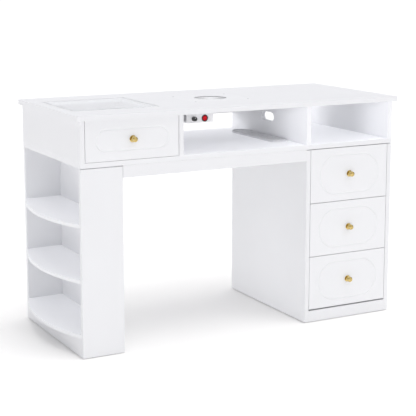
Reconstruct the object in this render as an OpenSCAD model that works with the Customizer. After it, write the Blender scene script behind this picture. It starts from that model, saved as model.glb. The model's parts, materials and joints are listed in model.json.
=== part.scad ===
// Manicure table: a box top on a shelf leg and a drawer pedestal, with a glass
// window over the display drawer and a dust collector set into the tabletop.
// Millimetres, +Z up, the table's front faces -Y. The driving positions are
// measured from the left plane and front plane of the carcass; on_base() moves
// the finished piece so that the origin is the middle of the overall footprint.

/* [Overall] */
// Width of the tabletop
top_w = 1200; // [1150:5:1300]
// Height from the floor to the top of the tabletop
table_h = 770; // [740:5:800]
// Depth of the carcass, without the tabletop's overhangs
carcass_d = 515; // [500:5:560]
// Thickness of the main boards
board = 16; // [15:1:18]
// Overhang of the tabletop at each side
side_overhang = 15; // [5:1:25]
// Overhang of the tabletop at the front
front_overhang = 15; // [5:1:22]
// Overhang of the tabletop at the back
back_overhang = 5; // [0:1:20]
// Radius of the tabletop's corners in plan
top_corner_r = 8; // [2:1:20]
// Height of the shadow joints under the box
joint_h = 2.5; // [0.5:0.5:4]
// Depth of the shadow joints
joint_deep = 6; // [2:1:10]
// Width of the shadow joint between the leg and the apron
apron_joint = 1; // [0.5:0.5:3]
// Height of the nail-in foot glides
glide_h = 2; // [1:0.5:4]

/* [Box] */
// Clear height of the bays under the tabletop
bay_h = 132; // [120:1:150]
// Clear width of the display drawer's bay
display_bay_w = 323; // [318:1:340]
// Clear width of the pedestal and of the cubby above it
pedestal_bay_w = 318; // [300:1:330]
// Height of the apron under the box
apron_h = 39; // [30:1:60]
// Height of the rail behind the centre niche
back_rail_h = 74; // [40:1:95]
// Length of the cable hole in the right divider
cable_hole_l = 84; // [50:1:100]
// Height of the cable hole
cable_hole_h = 31; // [20:1:40]
// Distance of the cable hole's centre from the front plane
cable_hole_y = 260; // [200:1:300]
// Height of the cable hole's centre over the box floor
cable_hole_z = 70; // [60:1:72]

/* [Shelf leg] */
// Width of the leg
leg_w = 142; // [130:1:170]
// Thickness of the leg's shelves
shelf_t = 12; // [9:1:16]
// How far the shelves bulge past the left plane
shelf_bulge = 48; // [20:1:60]
// Height of the bottom shelf's upper face
bottom_shelf_z = 75; // [60:1:100]
// Distance from one shelf to the next
shelf_pitch = 177; // [150:1:180]

/* [Pedestal] */
// Height of the pedestal's plinth
plinth_h = 41; // [30:1:60]
// Shadow gap over the plinth
plinth_gap = 4; // [2:1:8]
// Thickness of the pedestal's back panel
back_t = 12; // [5:1:16]

/* [Drawers] */
// Gap at each side of a drawer front
side_gap = 1.5; // [1:0.5:3]
// Gap above and below a drawer front
row_gap = 0.8; // [0.5:0.1:3]
// Thickness of a drawer's side and back boards
drawer_board = 12; // [10:1:15]
// Thickness of a drawer's bottom
drawer_bottom_t = 5; // [3:1:9]
// Length of a drawer's box behind its front
drawer_l = 420; // [410:5:450]
// Height of the display drawer's sides
display_side_h = 86; // [60:1:95]
// Height of the pedestal drawers' sides
pedestal_side_h = 130; // [100:1:140]
// Width of the routed groove
groove_w = 10; // [3:1:14]
// Depth of the routed groove
groove_deep = 1.5; // [1:0.5:5]
// Margin from an opening's side to the middle of the groove
groove_side = 37.5; // [30:0.5:60]
// Margin above and below the groove's middle, on the display drawer
display_groove_end = 32.5; // [20:0.5:40]
// Margin above and below the groove's middle, on the pedestal's drawers
pedestal_groove_end = 27; // [20:0.5:40]

/* [Drawer slides] */
// Length of the slides
slide_l = 400; // [350:10:400]
// Width of the gap that a slide fills
slide_gap = 13; // [12.5:0.5:14]
// Height of the cabinet member
cabinet_rail_h = 45; // [35:1:46]
// Sheet thickness of the slides
rail_t = 1.2; // [1:0.1:2]

/* [Knobs] */
// Diameter of the back plate
knob_plate_d = 22.5; // [18:0.5:35]
// Diameter of the head
knob_head_d = 20; // [14:0.5:30]
// Projection from the drawer's face
knob_out = 22; // [18:1:35]
// Diameter of the screw that holds the knob
knob_screw_d = 4; // [3:0.5:5]

/* [Glass window] */
// Width of the pane
glass_w = 296; // [240:1:300]
// Depth of the pane
glass_d = 289; // [240:1:300]
// Thickness of the pane
glass_t = 5; // [4:0.5:6]
// Distance of the pane from the left plane
glass_x = 28; // [26:1:30]
// Distance of the pane from the front plane
glass_y = 112; // [60:1:150]
// Width of the ledge that carries the pane
glass_ledge = 10; // [6:1:16]

/* [Dust collector] */
// Distance of its centre from the left plane
fan_x = 587; // [560:1:620]
// Distance of its centre from the front plane
fan_y = 255; // [230:1:280]
// Width of the cover plate
plate_w = 236; // [220:1:260]
// Depth of the cover plate
plate_d = 202; // [190:1:220]
// Thickness of the cover plate
plate_t = 2; // [1.5:0.5:3]
// Spacing of the plate's screws, across
plate_screw_w = 201; // [180:1:210]
// Spacing of the plate's screws, front to back
plate_screw_d = 170; // [150:1:180]
// Diameter of the inlet in the plate
inlet_d = 112; // [100:1:114]
// Side of the square fan housing
fan_w = 130; // [124:1:140]
// Height of the fan housing
fan_h = 43; // [42:1:46]

/* [Controls] */
// Width of the control box
control_w = 98; // [90:1:110]
// Height of the control box
control_h = 33; // [30:1:40]
// Depth of the control box
control_d = 80; // [60:1:100]
// Distance of the control box from the left plane
control_x = 374; // [372:1:390]
// Diameter of the round rocker switch's bezel
bezel_d = 22.5; // [21:0.5:24]
// Diameter of the speed knob
speed_knob_d = 15; // [12:0.5:18]

/* [Power strip] */
// Width of the strip's flange
strip_w = 66; // [60:1:68]
// Length of the strip's flange
strip_l = 308; // [280:2:320]
// Height of the flange over the box floor
strip_h = 8; // [5:1:12]
// Depth of the strip's body under its flange
strip_body_h = 36; // [30:1:44]
// Distance of its left edge from the left plane
strip_x = 750; // [700:1:750]
// Number of outlets
outlet_count = 5; // [3:1:5]

/* [Hidden] */
$fn = 64;
SLIP = 0.05;
CUT = 1;

WHITE = "white";
OFF_WHITE = "whitesmoke";
BRASS = "goldenrod";
STEEL = "silver";
BLACK = "dimgray";

carcass_w = top_w - 2 * side_overhang;
top_z = table_h - board;
floor_z = top_z - bay_h;
box_z = floor_z - board;

display_x = board;
left_divider_x = display_x + display_bay_w;
niche_x = left_divider_x + board;
pedestal_x = carcass_w - 2 * board - pedestal_bay_w;
pedestal_bay_x = pedestal_x + board;
niche_w = pedestal_x - niche_x;

x_min = -shelf_bulge;
x_max = carcass_w + side_overhang;
y_min = -knob_out;
y_max = carcass_d + back_overhang;
ORIGIN = [(x_min + x_max) / 2, (y_min + y_max) / 2, 0];

// A drawer's opening: left edge, bottom edge, width, height, height of the drawer's
// sides, margin above and below its groove
front_base_z = plinth_h + plinth_gap;
front_pitch = (box_z - joint_h / 2 - front_base_z) / 3;
function pedestal_opening(row) =
    [pedestal_bay_x, front_base_z + row * front_pitch, pedestal_bay_w, front_pitch,
     pedestal_side_h, pedestal_groove_end];
DISPLAY = [display_x, floor_z, display_bay_w, bay_h, display_side_h, display_groove_end];
UPPER = pedestal_opening(2);
MIDDLE = pedestal_opening(1);
LOWER = pedestal_opening(0);

drawer_lift = 18;
drawer_floor_rise = 8;
rail_setback = 2;
rail_overlap = 5.5;
drawer_rail_h = cabinet_rail_h - 2 * rail_overlap;
cabinet_rail_reach = slide_gap - 3.5;
drawer_rail_reach = slide_gap - 4;
knob_rim = 1.6;
knob_bevel = 1.4;
knob_screw_bite = 10;
knob_screw_head_d = 8;
knob_screw_head_h = 2.5;

plate_corner_r = 3;
plate_clearance = 0.5;
guard_drop = 3;
guard_t = 2;
guard_rings = 6;
guard_d = inlet_d + 4;
guard_clearance = 0.3;
duct_d = inlet_d - 2;
fan_corner_r = 8;
fan_pocket = 1;
spider_t = 3;
spider_rim = 2;
spider_arm_w = 8;
motor_d = 40;
motor_h = 14;
shaft_d = 5;
hub_d = 46;
hub_h = 17;
blades = 7;
blade_pitch = 32;
blade_chord = 26;
blade_t = 1.6;
blade_root = 3;
tip_gap = 2;
hub_gap = 1;

control_y = 18;
control_wall = 2;
control_corner_r = 5;
control_axis_z = top_z - 19;
speed_knob_x = control_x + 26;
rocker_x = control_x + 66;
bezel_rim = 2.4;
rocker_r = bezel_d / 2 - bezel_rim;
sleeve_d = bezel_d - 2.5;
sleeve_l = 14;
bezel_t = 2;
rocker_inset = 3;
rocker_play = 0.3;
stub_gap = 0.2;
knob_shaft_d = 6;
knob_shaft_inside = 12;
vent_slots = 9;
vent_pitch = 8;
vent_margin = 5;
rocker_tilt = 11;
rocker_stub_d = 2.4;

strip_y = 106;
strip_lip = 8;
strip_corner_r = 30;
strip_body_r = 12;
strip_pitch = 50;
outlet_w = 36;
outlet_corner_r = 6;
outlet_drop = 1;
outlet_t = 14;
blade_slot_pitch = 12.7;
blade_slot_w = 2;
blade_slot_l = 8;
earth_d = 4.6;
earth_drop = 8;
slot_deep = 12;
foot_d = 12;
screw_d = 3.5;
screw_head_d = 7;
screw_l = 12;

// ---- shapes ----

module on_base() translate(-ORIGIN) children();

// A rectangle with true arcs at its four corners
module rounded(w, d, r) {
    translate([r, 0]) square([w - 2 * r, d]);
    translate([0, r]) square([w, d - 2 * r]);
    for (x = [r, w - r], y = [r, d - r]) translate([x, y]) circle(r);
}

// A slot shape with half-round ends, centred
module stadium(w, h) {
    square([w - h, h], center = true);
    for (side = [-1, 1]) translate([side * (w - h) / 2, 0]) circle(d = h);
}

// A shape drawn in X and Z, given a thickness towards +Y
module upright(y, t) translate([0, y + t, 0]) rotate([90, 0, 0]) linear_extrude(t) children();

// A board from corner (x, y, z) with the size (w, d, h)
module panel(x, y, z, w, d, h) on_base() translate([x, y, z]) cube([w, d, h]);

// A round bar along Y, starting at y
module bar_y(x, y, z, l, d) translate([x, y, z]) rotate([-90, 0, 0]) cylinder(h = l, d = d);

// A channel of sheet steel along Y that opens towards +X
module channel(l, h, reach) {
    difference() {
        translate([0, 0, -h / 2]) cube([reach, l, h]);
        translate([rail_t, -CUT, rail_t - h / 2]) cube([reach, l + 2 * CUT, h - 2 * rail_t]);
    }
}

// ---- tabletop and box ----

module tabletop() color(WHITE) on_base() {
    ledge_x = glass_x + glass_ledge;
    ledge_y = glass_y + glass_ledge;
    pocket_w = fan_w + 2 * fan_pocket;
    difference() {
        translate([-side_overhang, -front_overhang, top_z])
            linear_extrude(board)
            rounded(top_w, carcass_d + front_overhang + back_overhang, top_corner_r);
        translate([ledge_x, ledge_y, top_z - CUT])
            cube([glass_w - 2 * glass_ledge, glass_d - 2 * glass_ledge, board + 2 * CUT]);
        translate([glass_x - plate_clearance, glass_y - plate_clearance, table_h - glass_t])
            cube([glass_w + 2 * plate_clearance, glass_d + 2 * plate_clearance, board]);
        translate([fan_x - pocket_w / 2, fan_y - pocket_w / 2, top_z - CUT])
            cube([pocket_w, pocket_w, board + 2 * CUT]);
        translate([fan_x - plate_w / 2 - plate_clearance, fan_y - plate_d / 2 - plate_clearance,
                   table_h - plate_t])
            cube([plate_w + 2 * plate_clearance, plate_d + 2 * plate_clearance, board]);
        at_plate_screws() translate([0, 0, -screw_l]) cylinder(h = screw_l, d = screw_d);
    }
}

module glass_pane() color("lightcyan", 0.4) on_base()
    translate([glass_x, glass_y, table_h - glass_t]) cube([glass_w, glass_d, glass_t]);

module box_left_side() color(WHITE) panel(0, 0, floor_z, board, carcass_d, bay_h);

module box_right_side() color(WHITE)
    panel(carcass_w - board, 0, floor_z, board, carcass_d, bay_h);

module box_floor() color(WHITE) difference() {
    panel(0, 0, box_z, carcass_w, carcass_d, board);
    on_base() strip_body(CUT, board, CUT);
}

module left_divider() color(WHITE) panel(left_divider_x, 0, floor_z, board, carcass_d, bay_h);

module right_divider() color(WHITE) on_base() difference() {
    translate([pedestal_x, 0, floor_z]) cube([board, carcass_d, bay_h]);
    translate([pedestal_x - CUT, cable_hole_y, floor_z + cable_hole_z])
        rotate([90, 0, 90]) linear_extrude(board + 2 * CUT) stadium(cable_hole_l, cable_hole_h);
}

module drawer_bay_back() color(WHITE)
    panel(display_x, carcass_d - board, floor_z, display_bay_w, board, bay_h);

module niche_back_rail() color(WHITE)
    panel(niche_x, carcass_d - board, top_z - back_rail_h, niche_w, board, back_rail_h);

module apron() color(WHITE) difference() {
    panel(leg_w, 0, box_z - apron_h, pedestal_x - leg_w, board, apron_h);
    on_base() translate([leg_w - CUT, -CUT, box_z - apron_h - CUT])
        cube([apron_joint + CUT, joint_deep + CUT, apron_h + 2 * CUT]);
}

// ---- shelf leg ----

module leg_end(y) panel(0, y, glide_h, leg_w, board, box_z - glide_h);

// The shadow joint along the front of a board of width w that carries the box
module under_box(x, w) on_base()
    translate([x - CUT, -CUT, box_z - joint_h]) cube([w + 2 * CUT, joint_deep + CUT, joint_h + CUT]);

module leg_front_panel() color(WHITE) difference() {
    leg_end(0);
    under_box(0, leg_w);
}

module leg_back_panel() color(WHITE) leg_end(carcass_d - board);

module leg_inner_panel() color(WHITE)
    panel(leg_w - board, board, glide_h, board, carcass_d - 2 * board, box_z - glide_h);

// A shelf whose outer edge is one arc from the front panel to the back panel
module shelf(row) {
    chord = carcass_d - 2 * board;
    arc_r = (chord * chord / 4 + shelf_bulge * shelf_bulge) / (2 * shelf_bulge);
    on_base() translate([0, board, bottom_shelf_z + row * shelf_pitch - shelf_t])
        linear_extrude(shelf_t) {
            square([leg_w - board, chord]);
            intersection() {
                translate([-shelf_bulge - CUT, 0]) square([shelf_bulge + 2 * CUT, chord]);
                translate([arc_r - shelf_bulge, chord / 2]) circle(arc_r, $fn = 360);
            }
        }
}

module leg_upper_shelf() color(WHITE) shelf(2);
module leg_lower_shelf() color(WHITE) shelf(1);
module leg_bottom_shelf() color(WHITE) shelf(0);

module leg_plinth() color(WHITE)
    panel(0, board, glide_h, board, carcass_d - 2 * board,
          bottom_shelf_z - shelf_t - glide_h);

// ---- pedestal ----

module pedestal_side(x) difference() {
    panel(x, 0, glide_h, board, carcass_d, box_z - glide_h);
    under_box(x, board);
}

module pedestal_left_side() color(WHITE) pedestal_side(pedestal_x);

module pedestal_right_side() color(WHITE) pedestal_side(carcass_w - board);

module pedestal_back() color(OFF_WHITE)
    panel(pedestal_bay_x, carcass_d - back_t, glide_h, pedestal_bay_w, back_t, box_z - glide_h);

module pedestal_floor() color(WHITE)
    panel(pedestal_bay_x, board, plinth_h - board, pedestal_bay_w,
          carcass_d - board - back_t, board);

module pedestal_plinth() color(WHITE)
    panel(pedestal_bay_x, 0, glide_h, pedestal_bay_w, board, plinth_h - glide_h);

// Nail-in glides under the two leg panels and the two pedestal sides
module foot_glides() color(BLACK) on_base() {
    half = board / 2;
    for (x = [2 * board, leg_w - 2 * board], y = [half, carcass_d - half])
        translate([x, y, 0]) cylinder(h = glide_h, d = foot_d);
    for (x = [pedestal_x + half, carcass_w - half], y = [2 * board, carcass_d - 2 * board])
        translate([x, y, 0]) cylinder(h = glide_h, d = foot_d);
}

// ---- drawers ----

function rail_z(o) = o[1] + drawer_lift + o[4] / 2;

// Two rails, one in each side gap of an opening; children() is the left one
module both_sides(o) {
    translate([o[0], 0, rail_z(o)]) children();
    translate([o[0] + o[2], 0, rail_z(o)]) mirror([1, 0, 0]) children();
}

module cabinet_rails() color(STEEL) on_base()
    for (o = [DISPLAY, UPPER, MIDDLE, LOWER]) both_sides(o)
        translate([0, board + rail_setback, 0])
            channel(slide_l, cabinet_rail_h, cabinet_rail_reach);

module drawer_rails(o) color(STEEL) on_base() both_sides(o)
    translate([slide_gap, board + rail_setback, 0]) mirror([1, 0, 0])
        channel(slide_l, drawer_rail_h, drawer_rail_reach);

module drawer_front(o) color(WHITE) on_base() difference() {
    translate([o[0] + side_gap, 0, o[1] + row_gap])
        cube([o[2] - 2 * side_gap, board, o[3] - 2 * row_gap]);
    translate([o[0] + o[2] / 2, 0, o[1] + o[3] / 2]) {
        w = o[2] - 2 * groove_side + groove_w;
        h = o[3] - 2 * o[5] + groove_w;
        upright(-CUT, groove_deep + CUT) difference() {
            stadium(w, h);
            stadium(w - 2 * groove_w, h - 2 * groove_w);
        }
        bar_y(0, -CUT, 0, board + 2 * CUT, knob_screw_d);
    }
}

module drawer_sides(o) color(OFF_WHITE) on_base()
    for (x = [slide_gap, o[2] - slide_gap - drawer_board])
        translate([o[0] + x, board, o[1] + drawer_lift]) cube([drawer_board, drawer_l, o[4]]);

module drawer_back(o) color(OFF_WHITE) on_base() {
    inset = slide_gap + drawer_board;
    translate([o[0] + inset, board + drawer_l - drawer_board, o[1] + drawer_lift])
        cube([o[2] - 2 * inset, drawer_board, o[4]]);
}

module drawer_bottom(o) color(OFF_WHITE) on_base() {
    inset = slide_gap + drawer_board;
    translate([o[0] + inset, board, o[1] + drawer_lift + drawer_floor_rise])
        cube([o[2] - 2 * inset, drawer_l - drawer_board, drawer_bottom_t]);
}

// A turned knob with a back plate, a waisted neck and a domed head, and the screw
// that holds it from inside the drawer
module drawer_knob(o) color(BRASS) on_base() translate([o[0] + o[2] / 2, 0, o[1] + o[3] / 2]) {
    plate_r = knob_plate_d / 2;
    head_r = knob_head_d / 2;
    neck_r = head_r / 2;
    head_back = knob_out / 2;
    difference() {
        rotate([90, 0, 0]) rotate_extrude() polygon([
            [0, 0], [plate_r, 0], [plate_r, knob_rim],
            [plate_r - knob_bevel, knob_rim + knob_bevel],
            [neck_r, knob_rim + 2 * knob_bevel], [neck_r, head_back - knob_bevel],
            [head_r - knob_bevel, head_back], [head_r, head_back + knob_bevel],
            [head_r, knob_out - 2 * knob_bevel],
            [head_r - 2 * knob_bevel, knob_out - knob_rim / 2], [0, knob_out]]);
        bar_y(0, -knob_screw_bite - CUT, 0, knob_screw_bite + 2 * CUT, knob_screw_d + 2 * SLIP);
    }
    bar_y(0, -knob_screw_bite, 0, knob_screw_bite + board, knob_screw_d);
    bar_y(0, board, 0, knob_screw_head_h, knob_screw_head_d);
}

module display_drawer_front() drawer_front(DISPLAY);
module display_drawer_sides() drawer_sides(DISPLAY);
module display_drawer_back() drawer_back(DISPLAY);
module display_drawer_bottom() drawer_bottom(DISPLAY);
module display_drawer_rails() drawer_rails(DISPLAY);
module display_drawer_knob() drawer_knob(DISPLAY);
module upper_drawer_front() drawer_front(UPPER);
module upper_drawer_sides() drawer_sides(UPPER);
module upper_drawer_back() drawer_back(UPPER);
module upper_drawer_bottom() drawer_bottom(UPPER);
module upper_drawer_rails() drawer_rails(UPPER);
module upper_drawer_knob() drawer_knob(UPPER);
module middle_drawer_front() drawer_front(MIDDLE);
module middle_drawer_sides() drawer_sides(MIDDLE);
module middle_drawer_back() drawer_back(MIDDLE);
module middle_drawer_bottom() drawer_bottom(MIDDLE);
module middle_drawer_rails() drawer_rails(MIDDLE);
module middle_drawer_knob() drawer_knob(MIDDLE);
module lower_drawer_front() drawer_front(LOWER);
module lower_drawer_sides() drawer_sides(LOWER);
module lower_drawer_back() drawer_back(LOWER);
module lower_drawer_bottom() drawer_bottom(LOWER);
module lower_drawer_rails() drawer_rails(LOWER);
module lower_drawer_knob() drawer_knob(LOWER);

// ---- dust collector ----

plate_under_z = table_h - plate_t;
guard_z = plate_under_z - guard_drop;
fan_z = plate_under_z - fan_h;

module at_plate_screws()
    for (x = [-1, 1], y = [-1, 1])
        translate([fan_x + x * plate_screw_w / 2, fan_y + y * plate_screw_d / 2, plate_under_z])
            children();

module dust_plate() color(WHITE) on_base() difference() {
    translate([fan_x - plate_w / 2, fan_y - plate_d / 2, plate_under_z])
        linear_extrude(plate_t) rounded(plate_w, plate_d, plate_corner_r);
    translate([fan_x, fan_y, plate_under_z - CUT]) cylinder(h = plate_t + 2 * CUT, d = inlet_d);
    at_plate_screws() cylinder(h = plate_t, d1 = screw_d, d2 = screw_head_d);
}

module plate_screws() color(STEEL) on_base() at_plate_screws() {
    cylinder(h = plate_t, d1 = screw_d, d2 = screw_head_d);
    translate([0, 0, -screw_l]) cylinder(h = screw_l, d = screw_d);
}

module finger_guard() color(STEEL) on_base() translate([fan_x, fan_y, guard_z])
    linear_extrude(guard_t) {
        wire = guard_t;
        ring_step = (guard_d / 2 - wire) / guard_rings;
        for (ring = [1:guard_rings]) difference() {
            circle(ring * ring_step + wire);
            circle(ring * ring_step);
        }
        for (turn = [0:60:300]) rotate(turn)
            translate([ring_step, -wire / 2]) square([guard_d / 2 - ring_step - wire, wire]);
    }

module fan_housing() color(BLACK) on_base() translate([fan_x, fan_y, fan_z]) {
    difference() {
        translate([-fan_w / 2, -fan_w / 2, 0])
            linear_extrude(fan_h) rounded(fan_w, fan_w, fan_corner_r);
        translate([0, 0, -CUT]) cylinder(h = fan_h + 2 * CUT, d = duct_d);
        translate([0, 0, fan_h - guard_drop])
            cylinder(h = fan_h, d = guard_d + 2 * guard_clearance);
    }
    cylinder(h = spider_t, d = motor_d + 2 * spider_rim);
    for (turn = [30:120:270]) rotate(turn) translate([motor_d / 2, -spider_arm_w / 2, 0])
        cube([duct_d / 2 - motor_d / 2 + CUT, spider_arm_w, spider_t]);
}

module fan_motor() color(STEEL) on_base() translate([fan_x, fan_y, fan_z + spider_t]) {
    cylinder(h = motor_h, d = motor_d);
    cylinder(h = motor_h + hub_h, d = shaft_d);
}

module impeller() color(BLACK) on_base()
    translate([fan_x, fan_y, fan_z + spider_t + motor_h + hub_gap]) difference() {
        union() {
            cylinder(h = hub_h, d = hub_d);
            intersection() {
                cylinder(h = hub_h, d = duct_d - 2 * tip_gap);
                for (blade = [1:blades]) rotate(blade * 360 / blades)
                    translate([0, 0, hub_h / 2]) rotate([blade_pitch, 0, 0])
                        translate([hub_d / 2 - blade_root, -blade_chord / 2, -blade_t / 2])
                        cube([duct_d / 2, blade_chord, blade_t]);
            }
        }
        translate([0, 0, -CUT]) cylinder(h = hub_h + 2 * CUT, d = shaft_d + 2 * SLIP);
    }

// ---- controls ----

module control_box() color(WHITE) on_base() difference() {
    translate([control_x, 0, top_z - control_h]) upright(control_y, control_d) {
        rounded(control_w, control_h, control_corner_r);
        translate([0, control_h / 2]) square([control_w, control_h / 2]);
    }
    translate([control_x + control_wall, control_y + control_wall,
               top_z - control_h + control_wall])
        cube([control_w - 2 * control_wall, control_d - 2 * control_wall, control_h]);
    bar_y(rocker_x, control_y - CUT, control_axis_z, control_wall + 2 * CUT, sleeve_d);
    bar_y(speed_knob_x, control_y - CUT, control_axis_z, control_wall + 2 * CUT,
          knob_shaft_d + 2 * SLIP);
    for (slot = [0:vent_slots - 1])
        translate([control_x - CUT, control_y + vent_margin + slot * vent_pitch,
                   top_z - control_h + vent_margin])
            cube([control_wall + 2 * CUT, vent_pitch / 2, control_h - 2 * vent_margin]);
}

// The round bezel with the sleeve that holds the rocker's two stubs
module rocker_bezel() color(BLACK) on_base() difference() {
    union() {
        bar_y(rocker_x, control_y - bezel_t, control_axis_z, bezel_t, bezel_d);
        bar_y(rocker_x, control_y, control_axis_z, sleeve_l, sleeve_d);
    }
    bar_y(rocker_x, control_y - bezel_t - CUT, control_axis_z, bezel_t + sleeve_l - control_wall,
          2 * rocker_r + 2 * rocker_play);
    at_rocker_pivot() cylinder(h = bezel_d, d = rocker_stub_d + 2 * SLIP, center = true);
}

module at_rocker_pivot()
    translate([rocker_x, control_y + rocker_inset, control_axis_z]) rotate([0, 90, 0]) children();

// A ball-sided rocker with a shallow V face, stored with its lower half pressed in
module power_rocker() color("red") on_base() {
    translate([rocker_x, control_y + rocker_inset, control_axis_z]) rotate([rocker_tilt, 0, 0])
        intersection() {
            sphere(rocker_r);
            rotate([90, 0, 90]) linear_extrude(2 * rocker_r, center = true) polygon([
                [-rocker_r * 0.72, -rocker_r], [-rocker_r * 0.52, 0],
                [-rocker_r * 0.72, rocker_r], [rocker_r * 0.5, rocker_r],
                [rocker_r * 0.5, -rocker_r]]);
        }
    at_rocker_pivot() cylinder(h = sleeve_d - 2 * stub_gap, d = rocker_stub_d, center = true);
}

// A plain knob with a pointer slot, on the shaft that turns the speed control
module speed_knob() color(BLACK) on_base() {
    knob_l = 12;
    lift = 0.5;
    pointer_w = 1.2;
    pointer_deep = 0.6;
    difference() {
        bar_y(speed_knob_x, control_y - lift - knob_l, control_axis_z, knob_l, speed_knob_d);
        translate([speed_knob_x - pointer_w / 2, control_y - lift - knob_l - CUT,
                   control_axis_z + 1])
            cube([pointer_w, CUT + pointer_deep, speed_knob_d]);
    }
    bar_y(speed_knob_x, control_y - lift, control_axis_z,
          lift + control_wall + knob_shaft_inside, knob_shaft_d);
}

// The strip's body inside its flange; grow is the clearance of the cut-out for it
module strip_body(depth, height, grow) translate([
        strip_x + strip_lip - grow, strip_y + strip_lip - grow, floor_z - height - depth])
    linear_extrude(height + depth + strip_h)
    rounded(strip_w - 2 * strip_lip + 2 * grow, strip_l - 2 * strip_lip + 2 * grow,
            strip_body_r);

module at_outlets()
    for (outlet = [0:outlet_count - 1])
        translate([strip_x + strip_w / 2,
                   strip_y + strip_l / 2 + (outlet - (outlet_count - 1) / 2) * strip_pitch,
                   floor_z + strip_h])
            children();

// An outlet's square outline, for its own solid or for the pocket it sits in
module outlet_outline(grow) translate([-outlet_w / 2 - grow, -outlet_w / 2 - grow])
    rounded(outlet_w + 2 * grow, outlet_w + 2 * grow, outlet_corner_r);

// A flush strip: a flange on the box floor, a body through it, and a pocket per outlet
module power_strip() color(OFF_WHITE) on_base() difference() {
    union() {
        translate([strip_x, strip_y, floor_z])
            linear_extrude(strip_h) rounded(strip_w, strip_l, strip_corner_r);
        strip_body(strip_body_h - board, board, 0);
    }
    at_outlets() translate([0, 0, -outlet_t - outlet_drop])
        linear_extrude(outlet_t + outlet_drop + CUT) outlet_outline(SLIP);
}

// Outlets with three blind slots each, too narrow for anything but a plug's blades
module strip_outlets() color(WHITE) on_base() at_outlets()
    translate([0, 0, -outlet_drop]) difference() {
        translate([0, 0, -outlet_t]) linear_extrude(outlet_t) outlet_outline(-SLIP);
        for (side = [-1, 1])
            translate([side * blade_slot_pitch / 2 - blade_slot_w / 2, 0, -slot_deep])
                cube([blade_slot_w, blade_slot_l, slot_deep + CUT]);
        translate([0, -earth_drop, -slot_deep]) cylinder(h = slot_deep + CUT, d = earth_d);
    }

tabletop();
glass_pane();
box_left_side();
box_right_side();
box_floor();
left_divider();
right_divider();
drawer_bay_back();
niche_back_rail();
apron();
leg_front_panel();
leg_back_panel();
leg_inner_panel();
leg_upper_shelf();
leg_lower_shelf();
leg_bottom_shelf();
leg_plinth();
pedestal_left_side();
pedestal_right_side();
pedestal_back();
pedestal_floor();
pedestal_plinth();
foot_glides();
cabinet_rails();
dust_plate();
plate_screws();
finger_guard();
fan_housing();
fan_motor();
impeller();
control_box();
rocker_bezel();
power_rocker();
speed_knob();
power_strip();
strip_outlets();
display_drawer_front();
display_drawer_sides();
display_drawer_back();
display_drawer_bottom();
display_drawer_rails();
display_drawer_knob();
upper_drawer_front();
upper_drawer_sides();
upper_drawer_back();
upper_drawer_bottom();
upper_drawer_rails();
upper_drawer_knob();
middle_drawer_front();
middle_drawer_sides();
middle_drawer_back();
middle_drawer_bottom();
middle_drawer_rails();
middle_drawer_knob();
lower_drawer_front();
lower_drawer_sides();
lower_drawer_back();
lower_drawer_bottom();
lower_drawer_rails();
lower_drawer_knob();
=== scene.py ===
import json
import math

import bmesh
import bpy
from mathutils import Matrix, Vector


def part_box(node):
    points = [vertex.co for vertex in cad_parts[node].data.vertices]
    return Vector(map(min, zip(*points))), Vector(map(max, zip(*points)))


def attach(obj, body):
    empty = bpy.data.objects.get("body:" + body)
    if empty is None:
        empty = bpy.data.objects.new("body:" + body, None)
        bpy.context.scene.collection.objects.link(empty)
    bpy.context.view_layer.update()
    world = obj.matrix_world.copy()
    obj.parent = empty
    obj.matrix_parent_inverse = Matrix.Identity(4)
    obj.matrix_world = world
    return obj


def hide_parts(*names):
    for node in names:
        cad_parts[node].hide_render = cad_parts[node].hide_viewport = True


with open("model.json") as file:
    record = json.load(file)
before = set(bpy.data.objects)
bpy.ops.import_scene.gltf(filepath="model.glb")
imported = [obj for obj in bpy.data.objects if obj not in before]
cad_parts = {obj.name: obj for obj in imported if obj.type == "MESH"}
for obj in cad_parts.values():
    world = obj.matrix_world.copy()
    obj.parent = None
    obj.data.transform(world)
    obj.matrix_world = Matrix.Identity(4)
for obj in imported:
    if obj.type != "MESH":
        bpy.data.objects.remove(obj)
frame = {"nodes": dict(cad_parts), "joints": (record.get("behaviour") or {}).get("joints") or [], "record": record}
bpy.context.view_layer.update()

# Looks of a white manicure table, in metres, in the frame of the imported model.
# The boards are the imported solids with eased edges; fronts, knobs, slides, fan,
# controls and power strip are modelled here in their place.

MM = 0.001
NODES = frame["nodes"]
SLOT_OF = {part["node"]: part["material_slot"] for part in frame["record"]["subparts"]}
DRAWERS = ("display", "upper", "middle", "lower")


# ---- camera ----

CAMERA_PLACE = (-1.9255, -3.6190, 1.224)
CAMERA_HEADING = 28.098
CAMERA_PITCH = 9.574
CAMERA_LENS = 103.9
CAMERA_SHIFT = -0.1


def make_camera():
    camera = bpy.data.objects.new("camera", bpy.data.cameras.new("camera"))
    bpy.context.scene.collection.objects.link(camera)
    camera.location = CAMERA_PLACE
    camera.rotation_euler = (math.radians(90 - CAMERA_PITCH), 0, -math.radians(CAMERA_HEADING))
    camera.data.sensor_width = 36
    camera.data.lens = CAMERA_LENS
    camera.data.shift_y = CAMERA_SHIFT
    bpy.context.scene.camera = camera


# ---- materials ----


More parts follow.
